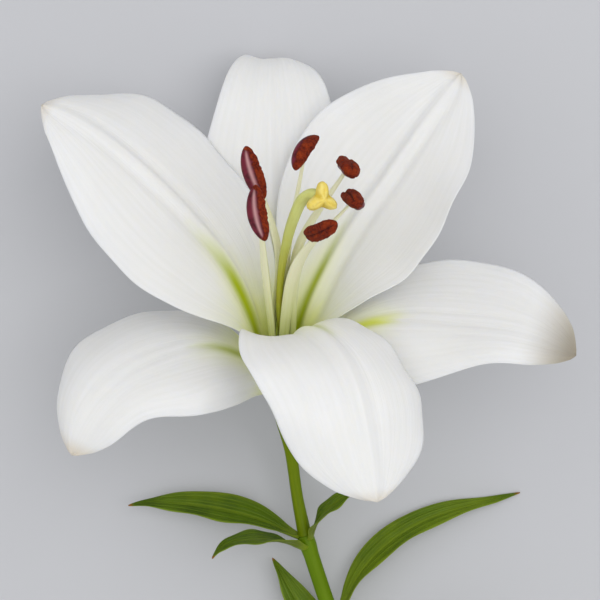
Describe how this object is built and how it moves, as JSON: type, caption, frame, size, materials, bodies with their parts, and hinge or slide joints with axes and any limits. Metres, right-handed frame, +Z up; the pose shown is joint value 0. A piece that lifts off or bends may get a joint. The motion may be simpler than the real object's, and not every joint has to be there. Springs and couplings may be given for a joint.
{
  "type": "cut lily stem",
  "caption": "Open white lily on the leafy top of its cut stem, lying on its back, to lay on a surface or add to a flower arrangement.",
  "frame": {"origin": "middle of the plant's bounding box, on the surface that it lies on", "axes": "+Z up from that surface, +Y along the stem from its cut end towards the flower, +X to the right of the flower as it is looked down on with the flower at the top"},
  "size_m": [0.163, 0.3038, 0.0994],
  "materials": {
    "tepal": "white petal flesh, satin, faintly veined, yellow-green in the throat",
    "stem": "green stem skin, satin, lightly ribbed",
    "pistil": "yellow-green stalk, smooth and slightly glossy",
    "stigma": "yellow, downy and moist",
    "anther": "rust-brown pollen over a maroon case, matt and grainy",
    "filament": "pale green stalk, smooth and slightly glossy",
    "leaf": "green leaf, waxy satin, parallel veins, paler edge, dry brown tip"
  },
  "bodies": {
    "root": {"inner_tepal_upper_left": "tepal", "inner_tepal_upper_right": "tepal", "inner_tepal_bottom": "tepal", "outer_tepal_top": "tepal", "outer_tepal_right": "tepal", "outer_tepal_lower_left": "tepal", "receptacle": "stem", "ovary": "pistil", "style": "pistil", "stigma": "stigma", "anther_upper_left": "anther", "filament_upper_left": "filament", "anther_lower_left": "anther", "filament_lower_left": "filament", "anther_top": "anther", "filament_top": "filament", "anther_upper_right": "anther", "filament_upper_right": "filament", "anther_right": "anther", "filament_right": "filament", "anther_bottom": "anther", "filament_bottom": "filament", "pedicel": "stem", "stem": "stem", "leaf_long_left": "leaf", "leaf_front_left": "leaf", "leaf_small_right": "leaf", "leaf_big_right": "leaf", "leaf_lower_left": "leaf", "leaf_lower_right": "leaf", "leaf_low_left": "leaf", "leaf_lowest": "leaf"}
  },
  "joints": []
}
